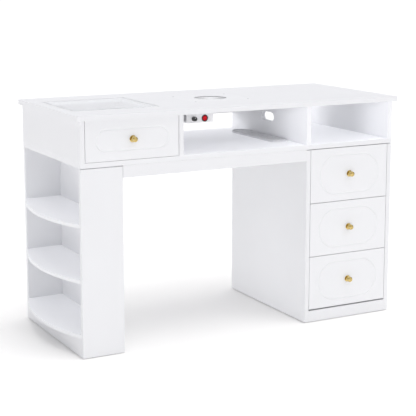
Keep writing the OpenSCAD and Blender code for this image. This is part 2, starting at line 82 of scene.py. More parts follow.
class Recipe:
    """A material being built: short calls for the few kinds of node that the finishes share."""

    def __init__(self, name, metallic=0.0, **surface):
        self.material = bpy.data.materials.new(name)
        self.material.use_nodes = True
        self.tree = self.material.node_tree
        self.surface = self.tree.nodes["Principled BSDF"]
        self.surface.inputs["Metallic"].default_value = metallic
        for socket, value in surface.items():
            self.surface.inputs[socket.replace("_", " ")].default_value = value
        self.place = self.node("ShaderNodeTexCoord", {}).outputs["Object"]
        self.normal = None

    def node(self, kind, inputs, **settings):
        made = self.tree.nodes.new(kind)
        for name, value in settings.items():
            setattr(made, name, value)
        for name, value in inputs.items():
            if isinstance(value, bpy.types.NodeSocket):
                self.tree.links.new(value, made.inputs[name])
            else:
                made.inputs[name].default_value = value
        return made

    def stretched(self, x, y, z):
        """The place in the object, scaled along each axis, for grain and streaks."""
        scaled = self.node("ShaderNodeMapping", {"Vector": self.place, "Scale": (x, y, z)})
        return scaled.outputs["Vector"]

    def noise(self, scale, detail=2.0, place=None):
        made = self.node("ShaderNodeTexNoise", {
            "Vector": place or self.place, "Scale": scale, "Detail": detail})
        return made.outputs["Fac"]

    def cells(self, scale):
        made = self.node("ShaderNodeTexVoronoi", {"Vector": self.place, "Scale": scale})
        return made.outputs["Distance"]

    def product(self, a, b):
        return self.node("ShaderNodeMath", {0: a, 1: b}, operation="MULTIPLY").outputs[0]

    def colour(self, source, low, high, edges=(0.35, 0.65)):
        ramp = self.node("ShaderNodeValToRGB", {"Fac": source})
        for stop, place, tone in zip(ramp.color_ramp.elements, edges, (low, high)):
            stop.position = place
            stop.color = (*tone, 1)
        self.tree.links.new(ramp.outputs["Color"], self.surface.inputs["Base Color"])

    def roughness(self, source, low, high, edges=(0.3, 0.7)):
        spread = self.node("ShaderNodeMapRange", {
            "Value": source, "From Min": edges[0], "From Max": edges[1],
            "To Min": low, "To Max": high})
        self.tree.links.new(spread.outputs["Result"], self.surface.inputs["Roughness"])

    def bump(self, source, depth, strength=1.0):
        """Relief of a real depth; a second call adds to the first."""
        inputs = {"Height": source, "Distance": depth, "Strength": strength}
        if self.normal:
            inputs["Normal"] = self.normal
        self.normal = self.node("ShaderNodeBump", inputs).outputs["Normal"]
        self.tree.links.new(self.normal, self.surface.inputs["Normal"])


def shade(tone, factor):
    return tuple(channel * factor for channel in tone)


WHITE = (0.860, 0.865, 0.880)


def laminate(name, tone, rough):
    """Satin melamine: a fine closed grain, faint clouding and a soft sheen."""
    mat = Recipe(name, Specular_IOR_Level=0.45)
    mat.colour(mat.noise(4, 4), shade(tone, 0.985), tone)
    mat.roughness(mat.noise(180, 3), rough - 0.03, rough + 0.03)
    mat.bump(mat.noise(420, 3), 0.00002, 0.5)
    mat.bump(mat.noise(1900, 2), 0.00001, 0.5)
    return mat.material


def edge_band_and_highlight(name):
    """The plastic band that shows on a board's eased edges: a little glossier than the face, and a touch lighter,
    partly whiter plastic and partly a painted highlight along the edges.
    """
    mat = Recipe(name, Specular_IOR_Level=0.5)
    # painted highlight: the band's colour runs up to 2% lighter than the face's white, so the edges read as a
    # light line
    mat.colour(mat.noise(30, 2), shade(WHITE, 0.99), shade(WHITE, 1.02))
    mat.roughness(mat.noise(260, 2), 0.24, 0.34)
    mat.bump(mat.noise(700, 2), 0.00002, 0.4)
    return mat.material


def paint(name):
    """Sprayed satin paint with a shallow orange peel and a thin clear coat."""
    mat = Recipe(name, Coat_Weight=0.2, Coat_Roughness=0.25)
    mat.colour(mat.noise(6, 4), shade(WHITE, 0.99), shade(WHITE, 1.01))
    mat.roughness(mat.noise(90, 3), 0.30, 0.40)
    mat.bump(mat.noise(260, 2), 0.00005, 0.5)
    mat.bump(mat.noise(1500, 1), 0.00001, 0.5)
    return mat.material


def drawer_board(name):
    """Matt white-faced board with a faint lengthwise pore texture."""
    mat = Recipe(name, Specular_IOR_Level=0.35)
    pores = mat.noise(30, 3, mat.stretched(18, 1, 18))
    mat.colour(pores, (0.80, 0.80, 0.805), (0.84, 0.84, 0.845))
    mat.roughness(mat.noise(150, 3), 0.48, 0.62)
    mat.bump(pores, 0.00006, 0.5)
    return mat.material


def clear_glass(name):
    """Polished float glass that lets lamps through, with faint wiping marks."""
    mat = Recipe(name, Transmission_Weight=1.0, IOR=1.52)
    mat.colour(mat.noise(5, 2), (0.955, 0.978, 0.98), (0.97, 0.988, 0.99))
    mat.roughness(mat.noise(14, 4, mat.stretched(1, 3, 1)), 0.0, 0.02, (0.45, 0.8))
    path = mat.node("ShaderNodeLightPath", {})
    through = mat.node("ShaderNodeBsdfTransparent", {"Color": (0.95, 0.972, 0.975, 1)})
    both = mat.node("ShaderNodeMixShader", {
        0: path.outputs["Is Shadow Ray"], 1: mat.surface.outputs[0], 2: through.outputs[0]})
    mat.tree.links.new(both.outputs[0], mat.tree.nodes["Material Output"].inputs["Surface"])
    return mat.material


def turned_brass(name):
    """Polished brass: faint turning lines round the axis and soft handling marks."""
    mat = Recipe(name, metallic=1.0)
    mat.colour(mat.noise(160, 3), (0.60, 0.455, 0.165), (0.68, 0.52, 0.22))
    rings = mat.node("ShaderNodeTexWave", {"Vector": mat.place, "Scale": 700.0, "Distortion": 0.6},
                     wave_type="RINGS", rings_direction="Y")
    mat.roughness(mat.product(mat.noise(500, 3), rings.outputs["Fac"]), 0.06, 0.13, (0.1, 0.5))
    mat.bump(rings.outputs["Fac"], 0.000004, 0.4)
    return mat.material


def plated_steel(name, tone, rough):
    """Zinc-plated sheet: rolling streaks along its length and a faint spangle."""
    mat = Recipe(name, metallic=1.0)
    streaks = mat.noise(120, 3, mat.stretched(7, 0.12, 7))
    mat.colour(mat.product(streaks, mat.cells(260)), shade(tone, 0.88), shade(tone, 1.06),
               (0.05, 0.4))
    mat.roughness(streaks, rough - 0.07, rough + 0.09)
    mat.bump(streaks, 0.00001, 0.5)
    return mat.material


def powder_coat(name, tone, rough):
    """Powder coat on metal: a fine, even pebble."""
    mat = Recipe(name)
    mat.colour(mat.noise(25, 3), shade(tone, 0.985), tone)
    mat.roughness(mat.noise(400, 2), rough - 0.04, rough + 0.05)
    mat.bump(mat.cells(1100), 0.00003, 0.5)
    return mat.material


def moulded(name, tone, rough, grain, **surface):
    """Injection-moulded plastic: a spark-eroded grain, with slight flow clouding."""
    mat = Recipe(name, **surface)
    mat.colour(mat.noise(45, 3), shade(tone, 0.93), shade(tone, 1.05))
    mat.roughness(mat.noise(320, 3), rough - 0.05, rough + 0.06)
    mat.bump(mat.cells(1600), grain, 0.6)
    return mat.material


MATERIALS = {
    "white_laminate": laminate("white_laminate_finish", WHITE, 0.40),
    "white_paint": paint("white_paint_finish"),
    "drawer_board": drawer_board("drawer_board_finish"),
    "clear_glass": clear_glass("clear_glass_finish"),
    "polished_brass": turned_brass("polished_brass_finish"),
    "zinc_steel": plated_steel("zinc_steel_finish", (0.60, 0.61, 0.63), 0.32),
    "bright_steel": plated_steel("bright_steel_finish", (0.66, 0.66, 0.68), 0.20),
    "dark_steel": plated_steel("dark_steel_finish", (0.10, 0.10, 0.105), 0.35),
    "white_metal": powder_coat("white_metal_finish", WHITE, 0.36),
    "grille_steel": powder_coat("grille_steel_finish", (0.86, 0.86, 0.87), 0.38),
    "black_plastic": moulded("black_plastic_finish", (0.022, 0.022, 0.024), 0.40, 0.00002),
    "grey_plastic": moulded("grey_plastic_finish", (0.30, 0.30, 0.31), 0.50, 0.00004),
    "white_plastic": moulded("white_plastic_finish", (0.76, 0.76, 0.775), 0.30, 0.00001),
    "red_plastic": moulded("red_plastic_finish", (0.56, 0.006, 0.014), 0.24, 0.000005,
                           Specular_IOR_Level=0.12),
}
# the eased edges' band; its slightly lighter colour is partly a painted highlight
EDGE_BAND_AND_HIGHLIGHT = edge_band_and_highlight("edge_band_and_highlight_finish")


# ---- shared mesh code ----


def arc(x, y, r, start, end, steps=8):
    """Points on an arc, with its angles in degrees."""
    turns = [math.radians(start + (end - start) * i / steps) for i in range(steps + 1)]
    return [(x + r * math.cos(t), y + r * math.sin(t)) for t in turns]


def all_round(quarter):
    """A closed outline, symmetrical both ways, from the points of its first quarter."""
    mirrored = [(-x, y) for x, y in reversed(quarter)]
    half = quarter[:-1] + mirrored[:-1]
    return half + [(-x, -y) for x, y in half]


def slot_outline(w, h, curve=24, straight=6):
    """A slot with half-round ends. Every outline below has curve + straight steps a quarter."""
    r = h / 2
    end = arc(w / 2 - r, 0, r, 0, 90, curve)
    flat = [((w / 2 - r) * (1 - i / straight), r) for i in range(1, straight + 1)]
    return all_round(end + flat)


def box_outline(w, h, r=0.0, curve=24, straight=6):
    """A rectangle whose corners have the radius r."""
    half = curve // 2
    side = [(w / 2, (h / 2 - r) * i / half) for i in range(half)]
    corner = arc(w / 2 - r, h / 2 - r, r, 0, 90, curve - half)
    flat = [((w / 2 - r) * (1 - i / straight), h / 2) for i in range(1, straight + 1)]
    return all_round(side + corner + flat)


def round_outline(r, curve=24, straight=6):
    return all_round(arc(0, 0, r, 0, 90, curve + straight))


def bridged(bm, rings):
    """Skins a row of rings, each a list of points, and returns their vertices."""
    made = [[bm.verts.new(point) for point in ring] for ring in rings]
    for near, far in zip(made, made[1:]):
        for i in range(len(near)):
            j = (i + 1) % len(near)
            bm.faces.new((near[i], near[j], far[j], far[i]))
    return made


def upright(outline, y):
    """An outline in X and Z, at the depth y."""
    return [(x, y, z) for x, z in outline]


def level(outline, z):
    """An outline in X and Y, at the height z."""
    return [(x, y, z) for x, y in outline]


def lathe(bm, outline, steps=48, along="Y", wave=None):
    """Turns (radius, distance) points round an axis; wave(turn, distance) scales the radius."""
    rings = []
    for r, out in outline:
        ring = []
        for i in range(steps):
            turn = math.tau * i / steps
            size = max(r, 1e-7) * (wave(turn, out) if wave else 1)
            a, b = size * math.cos(turn), size * math.sin(turn)
            ring.append((a, out, b) if along == "Y" else (a, b, out))
        rings.append(ring)
    bridged(bm, rings)
    bmesh.ops.remove_doubles(bm, verts=bm.verts, dist=2e-6)


def block(bm, lo, hi):
    """A closed box between two corners, whose edges a modifier then rounds."""
    corners = [bm.verts.new((x, y, z)) for z in (lo[2], hi[2]) for x, y in
               ((lo[0], lo[1]), (hi[0], lo[1]), (hi[0], hi[1]), (lo[0], hi[1]))]
    for face in ((3, 2, 1, 0), (4, 5, 6, 7), (0, 1, 5, 4), (1, 2, 6, 5), (2, 3, 7, 6), (3, 0, 4, 7)):
        bm.faces.new([corners[i] for i in face])


def prism(bm, outline, low, high, bevel=0.0, ring=level):
    """An outline extruded between two levels, with its rims rounded by a number of insets."""
    steps = 4 if bevel else 0
    width, depth = (max(p[i] for p in outline) for i in (0, 1))
    rings = []
    for i in range(steps + 1):
        turn = math.pi / 2 * i / max(steps, 1)
        inset, drop = bevel * (1 - math.sin(turn)), bevel * (1 - math.cos(turn))
        scaled = [(x * (1 - inset / width), y * (1 - inset / depth)) for x, y in outline]
        rings.append((scaled, drop))
    lower = [ring(points, low + drop) for points, drop in rings]
    upper = [ring(points, high - drop) for points, drop in reversed(rings)]
    made = bridged(bm, lower + upper)
    bm.faces.new(made[0])
    bm.faces.new(made[-1])


def piece(name, bm, body, slot, replaces=(), at=(0, 0, 0), bevel=0.0, angle=35):
    """A finished mesh that rides on a body, takes a slot's finish and may stand for CAD nodes."""
    bmesh.ops.recalc_face_normals(bm, faces=bm.faces)
    mesh = bpy.data.meshes.new(name)
    bm.to_mesh(mesh)
    bm.free()
    made = bpy.data.objects.new(name, mesh)
    made.location = at
    bpy.context.scene.collection.objects.link(made)
    dress(made, slot, body, replaces, bevel, angle)
    return made


def dress(made, slot, body, replaces=(), bevel=0.0, angle=35):
    made.data.materials.clear()
    made.data.materials.append(MATERIALS[slot])
    for face in made.data.polygons:
        face.use_smooth = True
    made.data.set_sharp_from_angle(angle=math.radians(angle))
    if bevel:
        ease(made, bevel)
    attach(made, body)
    if replaces:
        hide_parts(*replaces)


def ease(made, width, segments=2, edge_slot=-1):
    """Rounds an object's sharp edges."""
    rounded = made.modifiers.new("eased_edges", "BEVEL")
    rounded.width = width
    rounded.segments = segments
    rounded.limit_method = "ANGLE"
    rounded.angle_limit = math.radians(40)
    rounded.harden_normals = True
    rounded.material = edge_slot


def cut(made, tool):
    """Takes the mesh tool away from the object and bakes the result into its mesh."""
    knife = bpy.data.objects.new("knife", tool)
    bpy.context.scene.collection.objects.link(knife)
    hollow = made.modifiers.new("cut", "BOOLEAN")
    hollow.operation = "DIFFERENCE"
    hollow.solver = "EXACT"
    hollow.object = knife
    bpy.context.view_layer.update()
    shown = made.evaluated_get(bpy.context.evaluated_depsgraph_get())
    result = bpy.data.meshes.new_from_object(shown)
    made.modifiers.remove(hollow)
    old = made.data
    made.data = result
    bpy.data.objects.remove(knife)
    bpy.data.meshes.remove(old)
    bpy.data.meshes.remove(tool)


def mesh_of(bm):
    bmesh.ops.recalc_face_normals(bm, faces=bm.faces)
    mesh = bpy.data.meshes.new("tool")
    bm.to_mesh(mesh)
    bm.free()
    return mesh


def middle(node):
    lo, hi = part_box(node)
    return (lo + hi) / 2


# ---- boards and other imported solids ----


def weld_group():
    """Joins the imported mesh's split edges and shades it smooth, so that its edges can be eased."""
    group = bpy.data.node_groups.new("welded", "GeometryNodeTree")
    for way in ("INPUT", "OUTPUT"):
        group.interface.new_socket("Geometry", in_out=way, socket_type="NodeSocketGeometry")
    merge = group.nodes.new("GeometryNodeMergeByDistance")
    merge.inputs["Distance"].default_value = 0.005 * MM
    forget = group.nodes.new("GeometryNodeRemoveAttribute")
    forget.inputs["Name"].default_value = "custom_normal"
    smooth = group.nodes.new("GeometryNodeSetShadeSmooth")
    chain = [group.nodes.new("NodeGroupInput"), merge, forget, smooth,
             group.nodes.new("NodeGroupOutput")]
    for before, after in zip(chain, chain[1:]):
        group.links.new(before.outputs[0], after.inputs[0])
    return group


EASED = {
    "tabletop": 1.2 * MM, "glass_pane": 0.6 * MM, "dust_plate": 0.5 * MM, "fan_housing": 0.8 * MM,
    "fan_motor": 0.8 * MM, "control_box": 0.5 * MM,
}
BOARD_EDGE = 0.7 * MM


def finish_packed_solids():
    """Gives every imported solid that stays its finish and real, eased edges."""
    welded = weld_group()
    for name, solid in NODES.items():
        slot = SLOT_OF[name]
        solid.data.materials.clear()
        solid.data.materials.append(MATERIALS[slot])
        banded = slot == "white_laminate"
        if banded:
            solid.data.materials.append(EDGE_BAND_AND_HIGHLIGHT)
        modifier = solid.modifiers.new("welded", "NODES")
        modifier.node_group = welded
        ease(solid, EASED.get(name, BOARD_EDGE), 3 if name == "tabletop" else 2,
             1 if banded else -1)


# ---- drawer fronts ----

SIDE_GAP = 1.5 * MM
ROW_GAP = 0.8 * MM
GROOVE_SIDE = 37.5 * MM - SIDE_GAP
GROOVE_END = {"display": 32.5 * MM - ROW_GAP}
PEDESTAL_GROOVE_END = 27 * MM - ROW_GAP
GROOVE_W = 10 * MM
GROOVE_DEEP = 1.5 * MM
FRONT_EDGE = 1.2 * MM
FRONT_CORNER = 1.0 * MM
SCREW_R = 2 * MM


def drawer_front(drawer):
    """A front board with a routed cove round its middle and a hole for the knob's screw."""
    node = f"{drawer}_drawer_front"
    lo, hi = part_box(node)
    w, t, h = hi - lo
    groove_w = w - 2 * GROOVE_SIDE
    groove_h = h - 2 * GROOVE_END.get(drawer, PEDESTAL_GROOVE_END)
    face = -t / 2
    rings = [upright(round_outline(SCREW_R), -face), upright(round_outline(SCREW_R), face)]
    steps = 14
    for i in range(steps + 1):
        across = (i / steps - 0.5) * GROOVE_W
        depth = GROOVE_DEEP * (0.5 + 0.5 * math.cos(math.tau * across / GROOVE_W))
        outline = slot_outline(groove_w + 2 * across, groove_h + 2 * across)
        rings.append(upright(outline, face + depth))
    for edge, side in ((FRONT_EDGE, face), (FRONT_EDGE / 2, -face)):
        turns = range(5) if side == face else range(4, -1, -1)
        for turn in turns:
            angle = math.pi / 2 * turn / 4
            inset, drop = edge * (1 - math.sin(angle)), edge * (1 - math.cos(angle))
            outline = box_outline(w - 2 * inset, h - 2 * inset, FRONT_CORNER)
            rings.append(upright(outline, side + math.copysign(drop, -side)))
    bm = bmesh.new()
    made = bridged(bm, rings)
    for i in range(len(made[0])):
        j = (i + 1) % len(made[0])
        bm.faces.new((made[-1][i], made[-1][j], made[0][j], made[0][i]))
    front = piece(f"{drawer}_front_routed", bm, f"{drawer}_drawer", "white_paint", [node],
                  at=(lo + hi) / 2, angle=30)
    weighted = front.modifiers.new("weighted", "WEIGHTED_NORMAL")
    weighted.keep_sharp = True


# ---- knobs and screws ----


def cross_tool(size, width, deep, at):
    """A tapered cross, pointing along -Y, that cuts a screw's recess; at is the head's face."""
    bm = bmesh.new()
    rings = []
    for y, share in ((1 * MM, 1.0), (0, 1.0), (-deep, 0.35)):
        a, b = size * share, width * max(share, 0.6)
        quarter = [(a, b), (b, b), (b, a)]
        rings.append([(x, at + y, z) for x, z in turned_four_ways(quarter)])
    made = bridged(bm, rings)
    bm.faces.new(made[0])
    bm.faces.new(made[-1])
    return mesh_of(bm)


def turned_four_ways(points):
    """The points of one quarter turn, repeated all the way round."""
    outline = []
    for _ in range(4):
        outline += points
        points = [(-y, x) for x, y in points]
    return outline


def knob(drawer):
    """A turned brass knob: round plate, waisted neck, and a head with a ringed, domed face."""
    node = f"{drawer}_drawer_knob"
    lo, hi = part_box(node)
    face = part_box(f"{drawer}_drawer_front")[0].y
    centre = Vector(((lo.x + hi.x) / 2, face, (lo.z + hi.z) / 2))
    plate_r = (hi.x - lo.x) / 2
    reach = face - lo.y
    head_r, neck_r = 0.81 * plate_r, 0.33 * plate_r
    plate_t, rim, fillet = 1.8 * MM, 0.8 * MM, 3 * MM
    head_back, shoulder = 0.50 * reach, 4.4 * MM
    ring_r, ring_w, ring_deep = 0.40 * head_r, 0.6 * MM, 0.5 * MM
    brim = reach - 0.8 * MM
    dome = reach - brim
    dome_r = (ring_r ** 2 + dome ** 2) / (2 * dome)
    lean = math.degrees(math.asin((ring_r - ring_w) / dome_r))
    outline = [(0, 0), (plate_r - rim / 2, 0)]
    outline += arc(plate_r - rim, rim, rim, -45, 90)
    outline += [(neck_r + fillet + rim, plate_t)]
    outline += arc(neck_r + fillet, plate_t + fillet + 0.2 * MM, fillet, 270, 180)
    outline += arc(neck_r + fillet, head_back - fillet, fillet, 180, 90)
    outline += arc(head_r - rim, head_back + 2 * rim, rim, -90, 0)
    outline += arc(head_r - shoulder, brim - shoulder, shoulder, 0, 90)
    outline += [(ring_r + ring_w, brim), (ring_r, brim - ring_deep)]
    outline += arc(0, reach - dome_r, dome_r, 90 - lean, 90)
    bm = bmesh.new()
    lathe(bm, [(r, -out) for r, out in outline], 64)
    piece(f"{drawer}_knob_turned", bm, f"{drawer}_drawer", "polished_brass", [node], at=centre)
    knob_screw(drawer, centre, hi.y - face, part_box(f"{drawer}_drawer_front")[1].y - face)


def knob_screw(drawer, centre, end, board):
    """The pan-head screw that holds the knob, its cross recess seen from inside the drawer."""
    head_r, head_h = 4 * MM, end - board
    bite, pitch = 8 * MM, 0.7 * MM
    outline = [(0, -bite), (SCREW_R - pitch, -bite)]
    threads = int((bite + board - 2 * MM) / pitch)
    for i in range(threads):
        base = -bite + pitch * (i + 0.5)
        outline += [(SCREW_R - 0.35 * MM, base), (SCREW_R - 0.05 * MM, base + pitch / 2)]
    outline += [(SCREW_R - 0.05 * MM, board), (head_r, board)]
    outline += arc(head_r - 0.9 * head_h, board + 0.1 * head_h, 0.9 * head_h, 0, 90, 6)
    outline += [(0, board + head_h)]
    bm = bmesh.new()
    lathe(bm, outline, 32)
    screw = piece(f"{drawer}_knob_screw", bm, f"{drawer}_drawer", "zinc_steel", at=centre)
    recess_on(screw, cross_tool(2.1 * MM, 0.45 * MM, 1.3 * MM, board + head_h))


def recess_on(screw, tool):
    """Cuts a recess into a screw that is already in its place."""
    tool.transform(screw.matrix_world)
    cut(screw, tool)


# ---- drawer slides ----

SHEET = 1.2 * MM
BEND = 2.6 * MM


def channel_outline(reach, h):
    """A rolled channel's cross-section: X is away from its web, Y is up; lips curl inward."""
    lip = 1.6 * MM
    outer = [(reach, h / 2 - lip - SHEET)]
    outer += arc(reach - lip, h / 2 - lip, lip, 0, 90, 5)
    outer += arc(BEND, h / 2 - BEND, BEND, 90, 180, 5)
    inner = arc(BEND, h / 2 - BEND, BEND - SHEET, 180, 90, 5)
    inner += arc(reach - lip, h / 2 - lip, lip - SHEET, 90, 0, 5)
    inner += [(reach - SHEET, h / 2 - lip - SHEET)]
    top = outer + inner
    # the lower half mirrors the upper one, so the loop runs down its web and back
    upper_outer, upper_inner = top[:len(outer)], top[len(outer):]
    lower_outer = [(x, -y) for x, y in reversed(upper_outer)]
    lower_inner = [(x, -y) for x, y in reversed(upper_inner)]
    return upper_outer + lower_outer + lower_inner + upper_inner


def slide_member(bm, x, z, y0, y1, reach, h, way):
    """One member along Y with its web at x; way is 1 where it opens towards +X, and -1 if not."""
    outline = channel_outline(reach, h)
    rings = [[(x + way * a, y, z + b) for a, b in outline] for y in (y0, y1)]
    made = bridged(bm, rings)
    for ring in made:
        bm.faces.new(ring)


def slide_screws(bm, x, z, places, way):
    """Flat screw heads on a member's web."""
    for y in places:
        before = set(bm.verts)
        lathe(bm, [(0, 0), (3.4 * MM, 0)] + arc(2.4 * MM, 0.6 * MM, 1.0 * MM, 0, 90, 4)
              + [(1.2 * MM, 1.6 * MM), (0.9 * MM, 0.9 * MM), (0, 0.9 * MM)], 20)
        for v in set(bm.verts) - before:
            v.co = (x + way * v.co.y, y + v.co.x, z + v.co.z)


def slides():
    """The slides' cabinet members and drawer members, with the screws that hold them."""
    fixed = bmesh.new()
    heads = bmesh.new()
    lo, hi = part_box("cabinet_rails")
    length = hi.y - lo.y
    places = [lo.y + length * share for share in (0.08, 0.45, 0.9)]
    gap = 13 * MM
    for drawer in DRAWERS:
        node = f"{drawer}_drawer_rails"
        rail_lo, rail_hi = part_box(node)
        z, h = (rail_lo.z + rail_hi.z) / 2, rail_hi.z - rail_lo.z
        moving = bmesh.new()
        screws = bmesh.new()
        for way, web in ((1, rail_lo.x + 9 * MM), (-1, rail_hi.x - 9 * MM)):
            slide_member(moving, web, z, rail_lo.y, rail_hi.y, 9 * MM, h, -way)
            slide_screws(screws, web - way * SHEET, z, places, -way)
            wall = web - way * gap
            slide_member(fixed, wall, z, lo.y, hi.y, 9.5 * MM, h + 11 * MM, way)
            slide_screws(heads, wall + way * SHEET, z, [y + 12 * MM for y in places], way)
        piece(f"{drawer}_slide_members", moving, f"{drawer}_drawer", "zinc_steel", [node])
        piece(f"{drawer}_slide_screws", screws, f"{drawer}_drawer", "bright_steel")
    piece("cabinet_slide_members", fixed, "table", "zinc_steel", ["cabinet_rails"])
    piece("cabinet_slide_screws", heads, "table", "bright_steel")


# ---- dust collector ----


def ring_tube(bm, radius, tube, z, steps=96, sides=10):
    """A round wire bent into a ring, in a level plane."""
    rings = []
    for i in range(steps):
        turn = math.tau * i / steps
        ring = []
        for k in range(sides):
            side = math.tau * k / sides
            r = radius + tube * math.cos(side)
            ring.append((r * math.cos(turn), r * math.sin(turn), z + tube * math.sin(side)))
        rings.append(ring)
    made = bridged(bm, rings)
    for k in range(sides):
        j = (k + 1) % sides
        bm.faces.new((made[-1][k], made[-1][j], made[0][j], made[0][k]))


def finger_guard():
    """Rings of round wire, welded on six spokes that lie under them."""
    lo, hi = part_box("finger_guard")
    centre = Vector((middle("fan_housing").x, middle("fan_housing").y, (lo.z + hi.z) / 2))
    outer = (hi.x - lo.x) / 2
    wire = 1.0 * MM
    rings, spokes = 13, 6
    bm = bmesh.new()
    for ring in range(1, rings + 1):
        ring_tube(bm, (outer - wire) * ring / rings, wire, 0)
    for spoke in range(spokes):
        turn = math.tau * spoke / spokes
        inner = Vector((math.cos(turn), math.sin(turn), 0))
        across = Vector((-inner.y, inner.x, 0))
        tube = [(across * math.cos(a) + Vector((0, 0, 1)) * math.sin(a)) * wire * 0.9
                for a in (math.tau * k / 10 for k in range(10))]
        ends = [[inner * r + p - Vector((0, 0, wire * 0.8)) for p in tube]
                for r in ((outer - wire) / rings, outer - wire)]
        made = bridged(bm, ends)
        bm.faces.new(made[0])
        bm.faces.new(made[-1])
    piece("fan_guard_wires", bm, "table", "grille_steel", ["finger_guard"], at=centre)


def impeller():
    """A hub with seven twisted, cambered blades."""
    lo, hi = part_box("impeller")
    centre = Vector((middle("fan_housing").x, middle("fan_housing").y, lo.z))
    h = hi.z - lo.z
    hub_r, tip_r, bore = 23 * MM, 52 * MM, 2.6 * MM
    blades, sections, chord_steps = 7, 9, 8
    root_pitch, twist, lean = 42, 16, 0.25
    root_chord, flare = 20 * MM, 7 * MM
    deepest, thick = 1.8 * MM, 0.9 * MM
    bm = bmesh.new()
    lathe(bm, [(bore, 0), (hub_r, 0)] + arc(hub_r - 3 * MM, h - 3 * MM, 3 * MM, 0, 90, 6)
          + [(bore + 3 * MM, h), (bore + 3 * MM, h - 1 * MM), (bore, h - 1 * MM), (bore, 0)],
          56, along="Z")
    for blade in range(blades):
        turn = math.tau * blade / blades
        rings = []
        for s in range(sections):
            share = s / (sections - 1)
            r = hub_r - 1 * MM + (tip_r - hub_r + 1 * MM) * share
            pitch = math.radians(root_pitch - twist * share)
            chord = root_chord + flare * share
            upper, lower = [], []
            for c in range(chord_steps + 1):
                along = c / chord_steps - 0.5
                camber = deepest * (1 - 4 * along * along)
                half = thick * math.sqrt(max(1 - 4 * along * along, 0.02))
                for side, row in ((half, upper), (-half, lower)):
                    x = along * chord * math.cos(pitch) - (camber + side) * math.sin(pitch)
                    z = along * chord * math.sin(pitch) + (camber + side) * math.cos(pitch)
                    swept = turn + x / r + lean * share
                    height = min(max(h / 2 + z, 0.3 * MM), h - 0.3 * MM)
                    row.append((r * math.cos(swept), r * math.sin(swept), height))
            rings.append(upper + lower[::-1][1:-1])
        made = bridged(bm, rings)
        bm.faces.new(made[0])
        bm.faces.new(made[-1])
    piece("impeller_moulded", bm, "impeller", "black_plastic", ["impeller"], at=centre)


def plate_screws():
    """Four countersunk screws, flush with the plate, each with a cross recess."""
    lo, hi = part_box("plate_screws")
    head_r, plate_t = 3.5 * MM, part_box("dust_plate")[1].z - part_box("dust_plate")[0].z
    shaft_r = 1.75 * MM
    index = 0
    for x in (lo.x + head_r, hi.x - head_r):
        for y in (lo.y + head_r, hi.y - head_r):
            index += 1
            bm = bmesh.new()
            lathe(bm, [(0, lo.z - hi.z), (shaft_r * 0.4, lo.z - hi.z), (shaft_r, lo.z - hi.z + 2 * MM),
                       (shaft_r, -plate_t), (head_r - 0.2 * MM, -0.25 * MM),
                       (head_r - 0.2 * MM, -0.05 * MM), (head_r - 0.5 * MM, 0), (0, 0)],
                  32, along="Z")
            name = f"plate_screw_{index}"
            screw = piece(name, bm, "table", "dark_steel",
                          ["plate_screws"] if index == 1 else (), at=(x, y, hi.z))
            tool = cross_tool(1.9 * MM, 0.42 * MM, 1.4 * MM, 0)
            for v in tool.vertices:
                v.co = (v.co.x, -v.co.z, v.co.y)
            recess_on(screw, tool)


# ---- controls ----


def rocker_bezel():
    """A snap-in bezel: a rounded rim on the box's face and a sleeve behind it."""
    lo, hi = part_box("rocker_bezel")
    centre = Vector(((lo.x + hi.x) / 2, lo.y, (lo.z + hi.z) / 2))
    rim_r, sleeve_r, bore = (hi.x - lo.x) / 2, 10 * MM, 9.15 * MM
    rim_t, deep = 2 * MM, hi.y - lo.y
    bm = bmesh.new()
    outline = [(bore, deep - 2 * MM), (bore, 0.7 * MM)]
    outline += arc(bore + 0.7 * MM, 0.7 * MM, 0.7 * MM, 180, 270, 5)
    outline += arc(rim_r - 1.2 * MM, 1.2 * MM, 1.2 * MM, 270, 360, 6)
    outline += [(rim_r, rim_t), (sleeve_r, rim_t), (sleeve_r, deep), (0, deep), (0, deep - 2 * MM),
                (bore, deep - 2 * MM)]
    lathe(bm, outline, 64)
    piece("rocker_bezel_moulded", bm, "table", "black_plastic", ["rocker_bezel"], at=centre)


def power_rocker():
    """A round, ball-sided rocker whose face dips to a soft crease across its middle."""
    joint = next(j for j in frame["joints"] if j["name"] == "rocker_tilt")
    pivot = Vector(joint["pos_m"])
    radius = 8.85 * MM
    tilt = math.radians(11)
    crease, slope = 0.50, 0.24
    bm = bmesh.new()
    profile = [(radius * math.sin(a), -radius * math.cos(a))
               for a in (math.radians(2.5 * i) for i in range(49))]
    lathe(bm, profile + [(0, profile[-1][1])], 64)
    for v in bm.verts:
        rise = min(abs(v.co.z) / radius, 1.0)
        dip = -radius * (crease + slope * (math.sqrt(rise * rise + 0.01) - 0.1))
        v.co.y = max(v.co.y, dip)
        y, z = v.co.y, v.co.z
        v.co.y, v.co.z = (y * math.cos(tilt) - z * math.sin(tilt),
                          y * math.sin(tilt) + z * math.cos(tilt))
    rocker = piece("power_rocker_moulded", bm, "power_rocker", "red_plastic", ["power_rocker"],
                   at=pivot, angle=50)
    soft = rocker.modifiers.new("soft", "SMOOTH")
    soft.factor, soft.iterations = 0.5, 2


